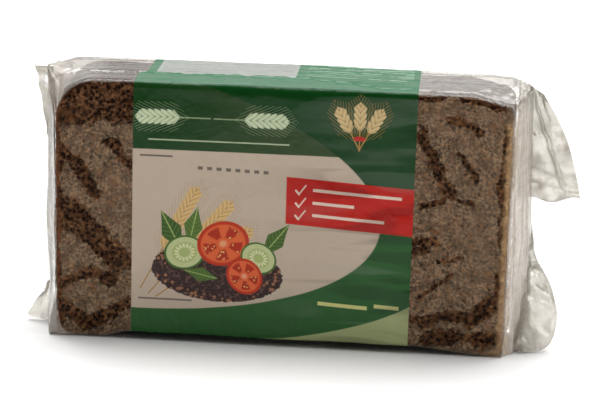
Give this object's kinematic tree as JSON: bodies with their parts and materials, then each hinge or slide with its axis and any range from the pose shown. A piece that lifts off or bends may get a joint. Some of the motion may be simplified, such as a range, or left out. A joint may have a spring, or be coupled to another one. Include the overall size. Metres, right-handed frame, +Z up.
{
  "type": "sliced rye loaf in a sealed film bag",
  "caption": "Flat oblong sliced rye loaf shut in a clear flow-wrapped film bag with a printed middle and creased, eared ends, standing on its narrow long side.",
  "frame": {"origin": "middle of the bounding box at its foot, on the table", "axes": "+X along the loaf, to the right as one faces the printed front; -Y out of the printed front; +Z up, with the pack standing on its narrow long side"},
  "size_m": [0.2039, 0.0418, 0.0982],
  "materials": {
    "clear_film": "thin clear glossy film, creased",
    "printed_film": "glossy printed film in dark green, cream and red",
    "rye_crumb": "open dark rye crumb with whole grains, matte and slightly moist"
  },
  "bodies": {
    "root": {"bread_bag": "clear_film"}
  },
  "joints": []
}
